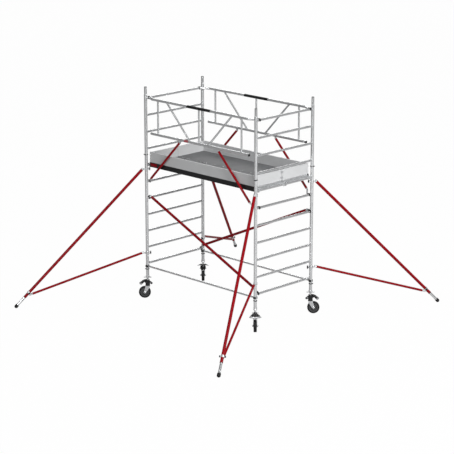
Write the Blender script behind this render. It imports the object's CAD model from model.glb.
"""Looks of a mobile tower scaffold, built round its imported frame."""

import logging
import math
from dataclasses import dataclass, field
from enum import Enum

import bmesh
import bpy
from mathutils import Matrix, Vector

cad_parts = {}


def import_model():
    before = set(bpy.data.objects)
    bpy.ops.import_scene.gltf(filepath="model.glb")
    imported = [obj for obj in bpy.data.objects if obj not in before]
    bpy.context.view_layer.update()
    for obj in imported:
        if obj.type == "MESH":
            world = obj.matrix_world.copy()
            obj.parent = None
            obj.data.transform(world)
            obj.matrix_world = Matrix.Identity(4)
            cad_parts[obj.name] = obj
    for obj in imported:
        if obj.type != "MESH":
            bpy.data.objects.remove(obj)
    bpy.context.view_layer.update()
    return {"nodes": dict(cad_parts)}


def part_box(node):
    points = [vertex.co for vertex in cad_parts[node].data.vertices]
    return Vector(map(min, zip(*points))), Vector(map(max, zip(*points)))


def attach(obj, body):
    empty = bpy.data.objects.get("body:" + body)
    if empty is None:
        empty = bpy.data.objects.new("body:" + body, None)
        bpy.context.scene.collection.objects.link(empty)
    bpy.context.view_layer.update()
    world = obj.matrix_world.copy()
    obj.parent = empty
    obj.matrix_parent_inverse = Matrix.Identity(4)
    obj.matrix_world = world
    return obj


LOG = logging.getLogger("scaffold")
CORNERS = {"front_left": (-1, -1), "front_right": (1, -1), "rear_left": (-1, 1), "rear_right": (1, 1)}


class Slot(Enum):
    """The record's material slots that new pieces take their finish from."""

    ALUMINIUM = "aluminium"
    RED = "red_paint"
    BLACK = "black_plastic"
    STEEL = "zinc_steel"
    HUB = "hub"


# ---- Shader groups ----


class ShaderGroups:
    """Node groups that several finishes share, each made once."""

    def __init__(self) -> None:
        """Start with no groups."""
        self._made: dict[str, bpy.types.NodeTree] = {}

    def _start(self, name: str, inputs: dict[str, float], outputs: list[str]) -> bpy.types.NodeTree:
        """Make an empty group with float sockets.

        Args:
            name: The group's name.
            inputs: Each input's name and default.
            outputs: The names of the outputs.

        Returns:
            The group's tree.
        """
        tree = bpy.data.node_groups.new(name, "ShaderNodeTree")
        for label, value in inputs.items():
            socket = tree.interface.new_socket(name=label, in_out="INPUT", socket_type="NodeSocketFloat")
            socket.default_value = value
        for label in outputs:
            tree.interface.new_socket(name=label, in_out="OUTPUT", socket_type="NodeSocketFloat")
        self._made[name] = tree
        return tree

    def grain(self) -> bpy.types.NodeTree:
        """Fine and broad surface variation.

        Returns:
            A group with Fine, Broad and Height outputs, each about 0 to 1.
        """
        if "surface grain" in self._made:
            return self._made["surface grain"]
        scales = {"Fine Scale": 90.0, "Broad Scale": 5.0}
        tree = self._start("surface grain", scales, ["Fine", "Broad", "Height"])
        nodes, links = tree.nodes, tree.links
        start = nodes.new("NodeGroupInput")
        end = nodes.new("NodeGroupOutput")
        place = nodes.new("ShaderNodeTexCoord")
        fine = nodes.new("ShaderNodeTexNoise")
        broad = nodes.new("ShaderNodeTexNoise")
        fine.inputs["Detail"].default_value = 4.0
        broad.inputs["Detail"].default_value = 2.0
        total = nodes.new("ShaderNodeMath")
        total.operation = "MULTIPLY_ADD"
        total.inputs[1].default_value = 0.6
        for noise, label in ((fine, "Fine Scale"), (broad, "Broad Scale")):
            links.new(place.outputs["Object"], noise.inputs["Vector"])
            links.new(start.outputs[label], noise.inputs["Scale"])
        links.new(fine.outputs["Fac"], total.inputs[0])
        links.new(broad.outputs["Fac"], total.inputs[2])
        links.new(fine.outputs["Fac"], end.inputs["Fine"])
        links.new(broad.outputs["Fac"], end.inputs["Broad"])
        links.new(total.outputs[0], end.inputs["Height"])
        return tree

    def draw_lines(self) -> bpy.types.NodeTree:
        """Faint lines that drawing leaves along a tube, and scuffs across them.

        Returns:
            A group with Lines and Scuffs outputs.
        """
        if "drawn lines" in self._made:
            return self._made["drawn lines"]
        tree = self._start("drawn lines", {"Line Scale": 260.0, "Scuff Scale": 34.0}, ["Lines", "Scuffs"])
        nodes, links = tree.nodes, tree.links
        start = nodes.new("NodeGroupInput")
        end = nodes.new("NodeGroupOutput")
        place = nodes.new("ShaderNodeTexCoord")
        stretch = nodes.new("ShaderNodeMapping")
        stretch.inputs["Scale"].default_value = (1.0, 1.0, 0.04)
        lines = nodes.new("ShaderNodeTexNoise")
        scuffs = nodes.new("ShaderNodeTexNoise")
        scuffs.inputs["Detail"].default_value = 6.0
        ramp = nodes.new("ShaderNodeMapRange")
        ramp.inputs["From Min"].default_value = 0.58
        ramp.inputs["From Max"].default_value = 0.72
        links.new(place.outputs["Object"], stretch.inputs["Vector"])
        links.new(stretch.outputs["Vector"], lines.inputs["Vector"])
        links.new(start.outputs["Line Scale"], lines.inputs["Scale"])
        links.new(place.outputs["Object"], scuffs.inputs["Vector"])
        links.new(start.outputs["Scuff Scale"], scuffs.inputs["Scale"])
        links.new(scuffs.outputs["Fac"], ramp.inputs["Value"])
        links.new(lines.outputs["Fac"], end.inputs["Lines"])
        links.new(ramp.outputs["Result"], end.inputs["Scuffs"])
        return tree


@dataclass
class Region:
    """A part of a node that has a second finish: where a coordinate passes a limit."""

    axis: str
    limit: float
    centre: tuple[float, float] = (0.0, 0.0)


@dataclass(frozen=True)
class Finish:
    """One surface: colour and its variation, gloss, grain and relief."""

    name: str
    colour: tuple[float, float, float]
    roughness: float
    metallic: float = 0.0
    variation: float = 0.12
    rough_variation: float = 0.1
    fine_scale: float = 90.0
    broad_scale: float = 5.0
    bump: float = 0.08
    bump_depth: float = 0.0004
    coat: float = 0.0
    lines: float = 0.0
    scuffs: float = 0.0
    scuff_colour: tuple[float, float, float] = (0.5, 0.5, 0.5)
    specular: float = 0.5


class Materials:
    """Builds materials from finishes."""

    def __init__(self) -> None:
        """Start with the shared groups and no materials."""
        self.groups = ShaderGroups()
        self._made: dict[str, bpy.types.Material] = {}

    def make(
        self, finish: Finish, other: Finish | None = None, region: Region | None = None
    ) -> bpy.types.Material:
        """Make, or fetch, the material of a finish.

        Args:
            finish: The main finish.
            other: A second finish, inside the region.
            region: Where the second finish lies.

        Returns:
            The material.
        """
        key = finish.name
        if other is not None and region is not None:
            key += f" and {other.name} {region.axis}{region.limit}{region.centre}"
        if key in self._made:
            return self._made[key]
        material = bpy.data.materials.new(key[:60])
        material.use_nodes = True
        nodes, links = material.node_tree.nodes, material.node_tree.links
        shader = nodes["Principled BSDF"]
        colour, rough, height = self._surface(nodes, links, finish)
        metal = None
        if region is not None and other is not None:
            mask = self._mask(nodes, links, region)
            colour_b, rough_b, _ = self._surface(nodes, links, other)
            colour = self._mix(nodes, links, mask, colour, colour_b)
            rough = self._mix_value(nodes, links, mask, rough, rough_b)
            if finish.metallic != other.metallic:
                ramp = nodes.new("ShaderNodeMapRange")
                ramp.inputs["To Min"].default_value = finish.metallic
                ramp.inputs["To Max"].default_value = other.metallic
                links.new(mask, ramp.inputs["Value"])
                metal = ramp.outputs["Result"]
        links.new(colour, shader.inputs["Base Color"])
        links.new(rough, shader.inputs["Roughness"])
        if metal is None:
            shader.inputs["Metallic"].default_value = finish.metallic
        else:
            links.new(metal, shader.inputs["Metallic"])
        shader.inputs["Coat Weight"].default_value = finish.coat
        shader.inputs["Specular IOR Level"].default_value = finish.specular
        bump = nodes.new("ShaderNodeBump")
        bump.inputs["Strength"].default_value = finish.bump
        bump.inputs["Distance"].default_value = finish.bump_depth
        links.new(height, bump.inputs["Height"])
        links.new(bump.outputs["Normal"], shader.inputs["Normal"])
        self._made[key] = material
        return material

    def _surface(self, nodes: bpy.types.Nodes, links: bpy.types.NodeLinks, finish: Finish) -> tuple:
        """Colour, roughness and height of a finish.

        Args:
            nodes: The material's nodes.
            links: The material's links.
            finish: The finish.

        Returns:
            The three output sockets.
        """
        grain = nodes.new("ShaderNodeGroup")
        grain.node_tree = self.groups.grain()
        grain.inputs["Fine Scale"].default_value = finish.fine_scale
        grain.inputs["Broad Scale"].default_value = finish.broad_scale
        ramp = nodes.new("ShaderNodeValToRGB")
        low = [c * (1.0 - finish.variation) for c in finish.colour]
        high = [min(1.0, c * (1.0 + finish.variation)) for c in finish.colour]
        ramp.color_ramp.elements[0].position = 0.3
        ramp.color_ramp.elements[0].color = (*low, 1.0)
        ramp.color_ramp.elements[1].position = 0.7
        ramp.color_ramp.elements[1].color = (*high, 1.0)
        links.new(grain.outputs["Broad"], ramp.inputs["Fac"])
        colour = ramp.outputs["Color"]
        if finish.lines or finish.scuffs:
            drawn = nodes.new("ShaderNodeGroup")
            drawn.node_tree = self.groups.draw_lines()
            if finish.lines:
                shade = nodes.new("ShaderNodeMapRange")
                shade.inputs["From Min"].default_value = 0.3
                shade.inputs["From Max"].default_value = 0.7
                shade.inputs["To Min"].default_value = 1.0 - finish.lines
                shade.inputs["To Max"].default_value = 1.0
                links.new(drawn.outputs["Lines"], shade.inputs["Value"])
                mix = nodes.new("ShaderNodeMix")
                mix.data_type = "RGBA"
                mix.blend_type = "MULTIPLY"
                mix.inputs[0].default_value = 1.0
                links.new(colour, mix.inputs[6])
                links.new(shade.outputs["Result"], mix.inputs[7])
                colour = mix.outputs[2]
            if finish.scuffs:
                scale = nodes.new("ShaderNodeMath")
                scale.operation = "MULTIPLY"
                scale.inputs[1].default_value = finish.scuffs
                links.new(drawn.outputs["Scuffs"], scale.inputs[0])
                worn = nodes.new("ShaderNodeMix")
                worn.data_type = "RGBA"
                worn.inputs[7].default_value = (*finish.scuff_colour, 1.0)
                links.new(scale.outputs[0], worn.inputs[0])
                links.new(colour, worn.inputs[6])
                colour = worn.outputs[2]
        rough = nodes.new("ShaderNodeMapRange")
        rough.inputs["To Min"].default_value = max(0.03, finish.roughness - finish.rough_variation)
        rough.inputs["To Max"].default_value = min(1.0, finish.roughness + finish.rough_variation)
        links.new(grain.outputs["Fine"], rough.inputs["Value"])
        return colour, rough.outputs["Result"], grain.outputs["Height"]

    def _mask(
        self, nodes: bpy.types.Nodes, links: bpy.types.NodeLinks, region: Region
    ) -> bpy.types.NodeSocket:
        """A 0 or 1 value that is 1 inside the region.

        Args:
            nodes: The material's nodes.
            links: The material's links.
            region: The region; axis x, y or z, with a minus for below the limit, or r for a radius in plan.

        Returns:
            The mask's socket.
        """
        place = nodes.new("ShaderNodeTexCoord")
        shift = nodes.new("ShaderNodeMapping")
        shift.inputs["Location"].default_value = (-region.centre[0], -region.centre[1], 0.0)
        parts = nodes.new("ShaderNodeSeparateXYZ")
        links.new(place.outputs["Object"], shift.inputs["Vector"])
        links.new(shift.outputs["Vector"], parts.inputs["Vector"])
        if region.axis == "r":
            flat = nodes.new("ShaderNodeCombineXYZ")
            links.new(parts.outputs["X"], flat.inputs["X"])
            links.new(parts.outputs["Y"], flat.inputs["Y"])
            length = nodes.new("ShaderNodeVectorMath")
            length.operation = "LENGTH"
            links.new(flat.outputs["Vector"], length.inputs[0])
            value = length.outputs["Value"]
        else:
            size = nodes.new("ShaderNodeMath")
            size.operation = "ABSOLUTE"
            links.new(parts.outputs[region.axis[-1].upper()], size.inputs[0])
            value = size.outputs[0]
        test = nodes.new("ShaderNodeMath")
        test.operation = "LESS_THAN" if region.axis.startswith("-") else "GREATER_THAN"
        test.inputs[1].default_value = region.limit
        links.new(value, test.inputs[0])
        return test.outputs[0]

    @staticmethod
    def _mix(nodes, links, mask, first, second):
        """Mix two colours by a mask and return the output socket."""
        mix = nodes.new("ShaderNodeMix")
        mix.data_type = "RGBA"
        links.new(mask, mix.inputs[0])
        links.new(first, mix.inputs[6])
        links.new(second, mix.inputs[7])
        return mix.outputs[2]

    @staticmethod
    def _mix_value(nodes, links, mask, first, second):
        """Mix two values by a mask and return the output socket."""
        mix = nodes.new("ShaderNodeMix")
        mix.data_type = "FLOAT"
        links.new(mask, mix.inputs[0])
        links.new(first, mix.inputs[2])
        links.new(second, mix.inputs[3])
        return mix.outputs[0]


@dataclass
class Palette:
    """Every finish on the tower."""

    aluminium: Finish = Finish("mill aluminium", (0.79, 0.80, 0.81), 0.25, 0.85, 0.06, 0.07, 220, 3, 0.05,
                               lines=0.12, scuffs=0.2, scuff_colour=(0.42, 0.42, 0.43))
    bright: Finish = Finish("bright aluminium", (0.84, 0.85, 0.86), 0.18, 0.9, 0.05, 0.06, 260, 3, 0.04,
                            lines=0.1)
    cast: Finish = Finish("cast aluminium", (0.62, 0.63, 0.64), 0.4, 0.8, 0.1, 0.1, 420, 9, 0.25, 0.0006)
    zinc: Finish = Finish("zinc plate", (0.74, 0.75, 0.76), 0.25, 0.85, 0.12, 0.08, 300, 24, 0.08)
    red: Finish = Finish("red paint", (0.20, 0.0005, 0.004), 0.32, 0.0, 0.12, 0.06, 300, 6, 0.05,
                         specular=0.14)
    black: Finish = Finish("black nylon", (0.006, 0.006, 0.0065), 0.45, 0.0, 0.2, 0.12, 600, 14, 0.25,
                           specular=0.35)
    foam: Finish = Finish("foam grip", (0.007, 0.007, 0.0075), 0.85, 0.0, 0.25, 0.1, 900, 20, 0.6, 0.0008,
                          specular=0.25)
    beam: Finish = Finish("black coated beam", (0.008, 0.0085, 0.009), 0.36, 0.0, 0.2, 0.1, 260, 7, 0.1,
                          scuffs=0.3, scuff_colour=(0.03, 0.03, 0.032), specular=0.35)
    deck: Finish = Finish("film faced deck", (0.112, 0.115, 0.118), 0.62, 0.0, 0.12, 0.12, 420, 3, 0.5,
                          0.0007, scuffs=0.25, scuff_colour=(0.19, 0.19, 0.195), specular=0.35)
    board: Finish = Finish("coated toe board", (0.47, 0.475, 0.48), 0.42, 0.0, 0.04, 0.08, 160, 2.2, 0.1,
                           scuffs=0.12, scuff_colour=(0.40, 0.40, 0.41))
    tyre: Finish = Finish("tyre rubber", (0.007, 0.007, 0.0075), 0.7, 0.0, 0.25, 0.1, 320, 18, 0.35, 0.0008,
                          scuffs=0.2, scuff_colour=(0.02, 0.019, 0.018), specular=0.3)
    hub: Finish = Finish("moulded hub", (0.055, 0.056, 0.058), 0.42, 0.0, 0.15, 0.1, 500, 16, 0.12)
    rubber: Finish = Finish("foot rubber", (0.007, 0.007, 0.0075), 0.75, 0.0, 0.2, 0.1, 500, 24, 0.4,
                            specular=0.3)
    patch: Finish = Finish("faded red patch", (0.33, 0.07, 0.08), 0.5, 0.0, 0.1, 0.1, 300, 20, 0.05)


# ---- New pieces ----


class Piece:
    """A bmesh that becomes one object riding on a body."""

    def __init__(self, name: str) -> None:
        """Start an empty mesh.

        Args:
            name: The object's name.
        """
        self.name = name
        self.mesh = bmesh.new()

    def cylinder(
        self, radius: float, depth: float, place: Matrix, sides: int = 24, top: float | None = None
    ) -> list[bmesh.types.BMVert]:
        """Add a closed cylinder or cone.

        Args:
            radius: Its radius, or a cone's lower radius.
            depth: Its length.
            place: Its middle, with z along its axis.
            sides: The sides of its section.
            top: A cone's upper radius.

        Returns:
            The new vertices.
        """
        made = bmesh.ops.create_cone(self.mesh, cap_ends=True, segments=sides, radius1=radius,
                                     radius2=radius if top is None else top, depth=depth, matrix=place)
        return made["verts"]

    def bevelled(self, verts: list, width: float, segments: int = 2, sharp: float = 0.6) -> None:
        """Bevel the sharp edges among some vertices.

        Args:
            verts: The vertices.
            width: The bevel's width.
            segments: The steps across it.
            sharp: The least angle between faces, in radians.
        """
        near = {e for v in verts for e in v.link_edges}
        edges = {e for e in near if len(e.link_faces) == 2 and e.calc_face_angle(0.0) > sharp}
        bmesh.ops.bevel(self.mesh, geom=list(edges), offset=width, segments=segments, affect="EDGES",
                        profile=0.5, material=-1)

    def block(self, size: tuple[float, float, float], place: Matrix, bevel: float) -> None:
        """Add a box with soft edges."""
        scale = Matrix.Diagonal((*size, 1.0))
        made = bmesh.ops.create_cube(self.mesh, size=1.0, matrix=place @ scale)
        self.bevelled(made["verts"], bevel)

    def ring(self, radius: float, thick: float, place: Matrix, around: int = 24, section: int = 8) -> None:
        """Add a round bead about the z of a place.

        Args:
            radius: The radius of the bead's middle line.
            thick: The radius of its section.
            place: Where it lies.
            around: Steps around the ring.
            section: Sides of the section.
        """
        upright = Matrix.Rotation(math.pi / 2, 4, "X")
        seat = place @ Matrix.Translation((radius, 0, 0)) @ upright
        made = bmesh.ops.create_circle(self.mesh, cap_ends=False, segments=section, radius=thick, matrix=seat)
        centre = place.translation
        axis = (place.to_3x3() @ Vector((0, 0, 1))).normalized()
        verts = made["verts"]
        edges = list({e for v in verts for e in v.link_edges})
        bmesh.ops.spin(self.mesh, geom=verts + edges, cent=centre, axis=axis, angle=2 * math.pi,
                       steps=around, use_merge=True)

    def finish(
        self, body: str, slot: Slot, material: bpy.types.Material, smooth: bool = True
    ) -> bpy.types.Object:
        """Make the object, dress it and let it ride.

        Args:
            body: The CAD body that it moves with.
            slot: The record's slot.
            material: Its material.
            smooth: Whether its round faces shade smooth.

        Returns:
            The object.
        """
        bmesh.ops.remove_doubles(self.mesh, verts=self.mesh.verts, dist=1e-6)
        bmesh.ops.recalc_face_normals(self.mesh, faces=self.mesh.faces)
        data = bpy.data.meshes.new(self.name)
        self.mesh.to_mesh(data)
        self.mesh.free()
        if smooth:
            data.shade_smooth()
            data.set_sharp_from_angle(angle=math.radians(38))
        obj = bpy.data.objects.new(self.name, data)
        bpy.context.scene.collection.objects.link(obj)
        data.materials.append(material)
        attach(obj, body)
        LOG.info("piece %s on %s", self.name, body)
        return obj


def aim(centre: Vector, direction: Vector) -> Matrix:
    """A place whose z points along a direction."""
    return Matrix.Translation(centre) @ direction.to_track_quat("Z", "Y").to_matrix().to_4x4()


@dataclass
class Sizes:
    """Main measures of the tower, read from the frame."""

    half_x: float = 1.25
    half_y: float = 0.65
    post_r: float = 0.0255
    rung_r: float = 0.019
    pitch: float = 0.28
    first_rung: float = 0.606
    deck_z: float = 2.341

    @classmethod
    def from_frame(cls) -> "Sizes":
        """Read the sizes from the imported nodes.

        Returns:
            The sizes.
        """
        low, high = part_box("lower_frame_right")
        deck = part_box("deck_boards")[1][2]
        radius = (high[0] - low[0]) / 2
        return cls(half_x=(low[0] + high[0]) / 2, half_y=high[1] - radius, post_r=radius, deck_z=deck)

    def rung_z(self, number: int) -> float:
        """Height of a rung, counted from 1 at the bottom."""
        return self.first_rung + (number - 1) * self.pitch


@dataclass
class Frames:
    """Weld beads and lock pins of the ladder frames."""

    sizes: Sizes
    palette: Palette
    materials: Materials
    rungs: int = 11
    bead: float = 0.0024

    def build(self) -> None:
        """Add the weld beads and the lock pins."""
        self._welds()
        self._rivets()

    def _welds(self) -> None:
        """Weld beads where each rung meets a post."""
        s = self.sizes
        for side in (-1, 1):
            piece = Piece("rung_welds_left" if side < 0 else "rung_welds_right")
            for number in range(1, self.rungs + 1):
                for across in (-1, 1):
                    reach = s.half_y - math.sqrt(s.post_r ** 2 - (s.rung_r * 0.55) ** 2)
                    joint = Vector((side * s.half_x, across * reach, s.rung_z(number)))
                    place = aim(joint, Vector((0, 1, 0)))
                    piece.ring(s.rung_r + 0.0008, self.bead, place, 20, 6)
            piece.finish("tower", Slot.ALUMINIUM, self.materials.make(self.palette.cast))

    def _rivets(self) -> None:
        """Domed lock pins through posts and spigots."""
        s = self.sizes
        piece = Piece("spigot_rivets")
        for sx, sy in CORNERS.values():
            for height in (s.rung_z(7) + 0.066 - 0.05, s.rung_z(11) + 0.066 - 0.05):
                for way in (-1, 1):
                    direction = Vector((0, way, 0))
                    centre = Vector((sx * s.half_x, sy * s.half_y + way * (s.post_r + 0.0008), height))
                    verts = piece.cylinder(0.0055, 0.003, aim(centre, direction), 14, 0.0035)
                    piece.bevelled(verts, 0.0008, 1)
        piece.finish("tower", Slot.STEEL, self.materials.make(self.palette.zinc))


@dataclass
class Platform:
    """Fastenings, seams and corner irons of the platform."""

    sizes: Sizes
    palette: Palette
    materials: Materials
    rivet_pitch: float = 0.2

    def build(self) -> None:
        """Add the deck's rivets, the toe boards' corner irons and edges, and the plain patches."""
        self._rivets()
        self._corner_irons()
        self._board_caps()
        self._patches()

    def _rivets(self) -> None:
        """Rows of flat rivets that hold the deck boards down."""
        low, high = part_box("deck_boards")
        piece = Piece("deck_rivets")
        count = round((high[0] - low[0] - 0.1) / self.rivet_pitch)
        for row in (-high[1] + 0.012, -0.014, 0.014, high[1] - 0.012):
            for i in range(count + 1):
                x = low[0] + 0.05 + i * (high[0] - low[0] - 0.1) / count
                seat = Vector((x, row, high[2] + 0.0006))
                piece.cylinder(0.006, 0.0022, aim(seat, Vector((0, 0, 1))), 12, 0.0045)
        piece.finish("tower", Slot.STEEL, self.materials.make(self.palette.zinc))

    def _corner_irons(self) -> None:
        """Angle irons at the toe boards' corners."""
        low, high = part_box("toe_boards")
        piece = Piece("toe_board_corner_irons")
        for sx in (-1, 1):
            for sy in (-1, 1):
                for z in (low[2] + 0.045, high[2] - 0.045):
                    place = Matrix.Translation((sx * (high[0] - 0.022), sy * (high[1] + 0.0007), z))
                    piece.block((0.034, 0.0016, 0.03), place, 0.0005)
                    rivet = Vector((sx * (high[0] - 0.026), sy * (high[1] + 0.0022), z))
                    piece.cylinder(0.004, 0.003, aim(rivet, Vector((0, sy, 0))), 12, 0.0025)
        piece.finish("tower", Slot.STEEL, self.materials.make(self.palette.zinc))

    def _board_caps(self) -> None:
        """Folded edge along the top of each long toe board."""
        low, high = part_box("toe_boards")
        piece = Piece("toe_board_edges")
        thick = 0.025
        for sy in (-1, 1):
            y = sy * (high[1] - thick / 2)
            size = (high[0] - low[0] - 0.004, thick + 0.0016, 0.003)
            piece.block(size, Matrix.Translation((0, y, high[2] + 0.0008)), 0.0006)
        piece.finish("tower", Slot.ALUMINIUM, self.materials.make(self.palette.board))

    def _patches(self) -> None:
        """Plain patches where the real product has its labels."""
        low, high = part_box("platform_beams")
        piece = Piece("beam_patch")
        middle = (low[0] + 0.10, low[1] - 0.0004, (low[2] + high[2]) / 2)
        piece.block((0.15, 0.001, 0.05), Matrix.Translation(middle), 0.0003)
        piece.finish("tower", Slot.RED, self.materials.make(self.palette.red))
        band = Piece("rail_band")
        rail_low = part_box("guardrail_front")[0]
        centre = Vector((-0.28, rail_low[1] + 0.021, rail_low[2] + 0.021))
        band.cylinder(0.0214, 0.09, aim(centre, Vector((1, 0, 0))), 32)
        band.finish("tower", Slot.RED, self.materials.make(self.palette.patch))


@dataclass
class Castor:
    """Hub ribs, axle nuts and housing seams of one castor."""

    corner: str
    sizes: Sizes
    palette: Palette
    materials: Materials
    trail: float = 0.0495
    wheel_r: float = 0.1
    spokes: int = 8

    def build(self) -> None:
        """Add the wheel's ribs, the axle's nuts and the housing's seams."""
        sx, sy = CORNERS[self.corner]
        outward = Vector((sx, sy, 0)).normalized()
        across = Vector((0, 0, 1)).cross(outward)
        post = Vector((sx * self.sizes.half_x, sy * self.sizes.half_y, 0))
        centre = post + outward * self.trail + Vector((0, 0, self.wheel_r))
        self._hub(centre, across)
        self._axle(centre, across)
        self._housing(post)

    def _hub(self, centre: Vector, across: Vector) -> None:
        """Ribs from the hub's boss to its rim, on both faces."""
        piece = Piece(f"hub_ribs_{self.corner}")
        inner, outer = 0.0235, 0.0625
        for side in (-1, 1):
            for i in range(self.spokes):
                turn = aim(centre, across) @ Matrix.Rotation(2 * math.pi * i / self.spokes, 4, "Z")
                place = turn @ Matrix.Translation(((inner + outer) / 2, 0, side * 0.0125))
                piece.block((outer - inner, 0.0045, 0.012), place, 0.0008)
        piece.finish(f"wheel_{self.corner}", Slot.HUB, self.materials.make(self.palette.hub))

    def _axle(self, centre: Vector, across: Vector) -> None:
        """Hexagon nuts with washers over the fork's ends."""
        piece = Piece(f"axle_nuts_{self.corner}")
        for side in (-1, 1):
            spot = centre + across * side * 0.0455
            verts = piece.cylinder(0.0125, 0.008, aim(spot, across), 6)
            piece.bevelled(verts, 0.001, 1)
            piece.ring(0.0155, 0.0016, aim(centre + across * side * 0.0338, across), 24, 6)
        piece.finish(f"castor_{self.corner}", Slot.STEEL, self.materials.make(self.palette.zinc))

    def _housing(self, post: Vector) -> None:
        """Bearing seams round the housing."""
        piece = Piece(f"swivel_seams_{self.corner}")
        for height, radius in ((0.2165, 0.0384), (0.2635, 0.0384)):
            piece.ring(radius, 0.0018, Matrix.Translation(post + Vector((0, 0, height))), 40, 6)
        piece.finish(f"castor_{self.corner}", Slot.BLACK, self.materials.make(self.palette.black))


@dataclass
class Stabiliser:
    """Hand knobs and leg guide of one stabiliser."""

    corner: str
    sizes: Sizes
    palette: Palette
    materials: Materials
    plan: float = math.radians(60)
    upper_z: float = 2.222
    lower_z: float = 0.785
    clamp_r: float = 0.0325
    reach: tuple[float, float] = field(default=(0.075, 2.225))

    def build(self) -> None:
        """Add knobs on both clamps and on the collar, and the tube's guide ring."""
        sx, sy = CORNERS[self.corner]
        out = Vector((sx * math.cos(self.plan), sy * math.sin(self.plan), 0))
        side = Vector((0, 0, 1)).cross(out)
        post = Vector((sx * self.sizes.half_x, sy * self.sizes.half_y, 0))
        self._knobs(post, out)
        start = post + out * self.reach[0] + Vector((0, 0, self.upper_z - 0.01))
        end = post + out * self.reach[1] + Vector((0, 0, 0.03))
        along = (end - start).normalized()
        length = (end - start).length
        self._sleeve(start, along, length)
        self._collar_knob(start + along * (length - 0.311), side)

    def _knobs(self, post: Vector, out: Vector) -> None:
        """Winged knobs on the tower's side of both clamps."""
        piece = Piece(f"clamp_knobs_{self.corner}")
        for z in (self.upper_z, self.lower_z):
            spot = post - out * (self.clamp_r + 0.022) + Vector((0, 0, z))
            piece.block((0.03, 0.03, 0.02), aim(spot, out), 0.004)
            piece.block((0.012, 0.062, 0.012), aim(spot - out * 0.004, out), 0.004)
        piece.finish(f"stabiliser_{self.corner}", Slot.BLACK, self.materials.make(self.palette.black))

    def _sleeve(self, start: Vector, along: Vector, length: float) -> None:
        """Plastic guide ring where the inner leg leaves the outer tube."""
        piece = Piece(f"leg_guide_{self.corner}")
        spot = start + along * (length - 0.205 - 0.004)
        piece.ring(0.0236, 0.0022, aim(spot, along), 32, 8)
        piece.finish(f"stabiliser_{self.corner}", Slot.BLACK, self.materials.make(self.palette.black))

    def _collar_knob(self, centre: Vector, side: Vector) -> None:
        """Locking knobs on the collar that holds the inner leg."""
        piece = Piece(f"collar_knob_{self.corner}")
        for way in (-1, 1):
            spot = centre + side * way * 0.044
            verts = piece.cylinder(0.017, 0.016, aim(spot, side * way), 16, 0.014)
            piece.bevelled(verts, 0.003)
        piece.finish(f"stabiliser_{self.corner}", Slot.BLACK, self.materials.make(self.palette.black))


@dataclass
class NodeLooks:
    """Gives every CAD node its material."""

    sizes: Sizes
    palette: Palette
    materials: Materials

    def dress(self, nodes: dict[str, bpy.types.Object]) -> None:
        """Assign a material to each node.

        Args:
            nodes: The frame's nodes by name.
        """
        for name, obj in nodes.items():
            material = self._choose(name)
            if not obj.material_slots:
                obj.data.materials.append(material)
            for slot in obj.material_slots:
                slot.material = material
            LOG.info("node %s has %s", name, material.name)

    def _choose(self, name: str) -> bpy.types.Material:
        """The material for a node's name.

        Args:
            name: The node's name.

        Returns:
            The material.
        """
        p, make = self.palette, self.materials.make
        corner = next((c for c in CORNERS if name.endswith(c)), None)
        centre = (0.0, 0.0)
        if corner:
            sx, sy = CORNERS[corner]
            centre = (sx * self.sizes.half_x, sy * self.sizes.half_y)
            kinds = {
                "castor_spindle": make(p.bright),
                "spindle_nut": make(p.bright),
                "castor_fork": make(p.zinc, p.black, Region("z", 0.2132)),
                "castor_tyre": make(p.tyre),
                "castor_hub": make(p.hub),
                "brake_pedal": make(p.black, p.cast, Region("r", 0.118, centre)),
                "stabiliser_tubes": make(p.red),
                "stabiliser_clamps": make(p.cast),
                "stabiliser_leg": make(p.bright),
                "stabiliser_foot": make(p.rubber),
            }
            return kinds[name[: -len(corner) - 1]]
        plain = {
            "frame_spigots": p.bright, "spigot_caps": p.black, "interlock_clips": p.black,
            "guardrail_grips": p.foam, "guardrail_hooks": p.black, "guardrail_braces": p.red,
            "diagonal_braces": p.red, "platform_beams": p.beam, "deck_boards": p.deck, "hatch": p.deck,
        }
        if name in plain:
            return make(plain[name])
        if name == "brace_hooks":
            return make(p.cast, p.black, Region("x", self.sizes.half_x - 0.0285))
        if name == "horizontal_braces":
            return make(p.aluminium, p.black, Region("x", self.sizes.half_x - 0.0345))
        if name == "platform_ends":
            return make(p.aluminium, p.cast, Region("x", 1.2053))
        if name == "toe_boards":
            return make(p.board, p.cast, Region("x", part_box("toe_boards")[1][0] - 0.0075))
        return make(p.aluminium)


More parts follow.
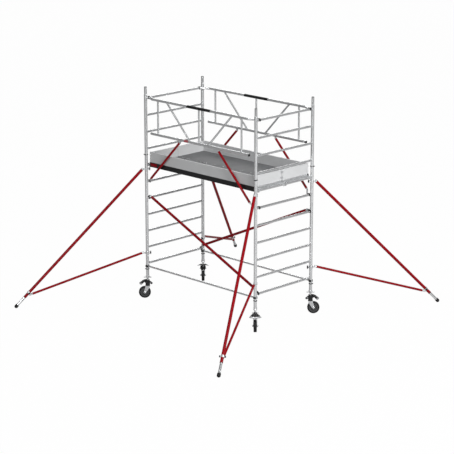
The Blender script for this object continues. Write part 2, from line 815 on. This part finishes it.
@dataclass
class Studio:
    """Floor, lamps and camera."""

    lens: float = 145.29
    place: tuple[float, float, float] = (20.387, -20.568, 9.284)
    tilt: float = math.radians(74.665)
    turn: float = math.radians(44.779)
    floor_size: float = 400.0

    def build(self) -> None:
        """Make the stage, the light and the camera."""
        self._floor()
        self._world()
        self._lamp("key lamp", (15.0, -3.0, 9.0), 3100.0, 6.0)
        self._lamp("fill lamp", (2.0, -15.0, 7.0), 650.0, 5.0)
        self._lamp("top lamp", (0.0, 0.0, 13.0), 500.0, 5.0)
        self._lamp("rim lamp", (-9.0, 9.0, 8.0), 300.0, 5.0)
        self._camera()

    def _floor(self) -> None:
        """A white plane that keeps soft shadows."""
        mesh = bmesh.new()
        bmesh.ops.create_grid(mesh, x_segments=1, y_segments=1, size=self.floor_size / 2)
        data = bpy.data.meshes.new("floor")
        mesh.to_mesh(data)
        mesh.free()
        floor = bpy.data.objects.new("floor", data)
        floor.location.z = -0.0005
        bpy.context.scene.collection.objects.link(floor)
        material = bpy.data.materials.new("pale floor")
        material.use_nodes = True
        nodes, links = material.node_tree.nodes, material.node_tree.links
        shader = nodes["Principled BSDF"]
        shader.inputs["Base Color"].default_value = (0.42, 0.42, 0.42, 1.0)
        shader.inputs["Roughness"].default_value = 0.9
        glow = nodes.new("ShaderNodeEmission")
        glow.inputs["Color"].default_value = (1.0, 1.0, 1.0, 1.0)
        glow.inputs["Strength"].default_value = 1.0
        mix = nodes.new("ShaderNodeMixShader")
        path = nodes.new("ShaderNodeLightPath")
        share = nodes.new("ShaderNodeMath")
        share.operation = "MULTIPLY"
        share.inputs[1].default_value = 0.985
        links.new(path.outputs["Is Camera Ray"], share.inputs[0])
        links.new(share.outputs[0], mix.inputs["Fac"])
        links.new(shader.outputs["BSDF"], mix.inputs[1])
        links.new(glow.outputs["Emission"], mix.inputs[2])
        links.new(mix.outputs["Shader"], nodes["Material Output"].inputs["Surface"])
        data.materials.append(material)

    def _world(self) -> None:
        """A soft sky that the camera, metal and glass see as white."""
        world = bpy.data.worlds.new("studio")
        bpy.context.scene.world = world
        world.use_nodes = True
        nodes, links = world.node_tree.nodes, world.node_tree.links
        soft = nodes["Background"]
        soft.inputs["Color"].default_value = (1.0, 1.0, 1.0, 1.0)
        soft.inputs["Strength"].default_value = 0.21
        white = nodes.new("ShaderNodeBackground")
        white.inputs["Color"].default_value = (1.0, 1.0, 1.0, 1.0)
        white.inputs["Strength"].default_value = 1.0
        path = nodes.new("ShaderNodeLightPath")
        mix = nodes.new("ShaderNodeMixShader")
        links.new(path.outputs["Is Camera Ray"], mix.inputs["Fac"])
        links.new(soft.outputs["Background"], mix.inputs[1])
        links.new(white.outputs["Background"], mix.inputs[2])
        links.new(mix.outputs["Shader"], nodes["World Output"].inputs["Surface"])

    def _lamp(self, name: str, place: tuple[float, float, float], power: float, size: float) -> None:
        """Hang an area lamp that faces the tower's middle."""
        data = bpy.data.lights.new(name, "AREA")
        data.energy = power
        data.size = size
        lamp = bpy.data.objects.new(name, data)
        lamp.location = place
        lamp.rotation_euler = (Vector((0, 0, 1.6)) - Vector(place)).to_track_quat("-Z", "Y").to_euler()
        bpy.context.scene.collection.objects.link(lamp)

    def _camera(self) -> None:
        """Set the camera at the tower's viewing angle."""
        data = bpy.data.cameras.new("camera")
        data.lens = self.lens
        data.sensor_width = 36.0
        data.clip_end = 500.0
        camera = bpy.data.objects.new("camera", data)
        camera.location = self.place
        camera.rotation_euler = (self.tilt, 0.0, self.turn)
        bpy.context.scene.collection.objects.link(camera)
        bpy.context.scene.camera = camera


def main() -> None:
    """Dress the frame, add the pieces, and set the studio."""
    logging.basicConfig(level=logging.INFO, format="%(message)s")
    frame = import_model()
    bpy.context.scene.view_settings.view_transform = "Standard"
    sizes, palette, materials = Sizes.from_frame(), Palette(), Materials()
    NodeLooks(sizes, palette, materials).dress(frame["nodes"])
    Frames(sizes, palette, materials).build()
    Platform(sizes, palette, materials).build()
    for corner in CORNERS:
        Castor(corner, sizes, palette, materials).build()
        Stabiliser(corner, sizes, palette, materials).build()
    Studio().build()


if __name__ == "__main__":
    main()
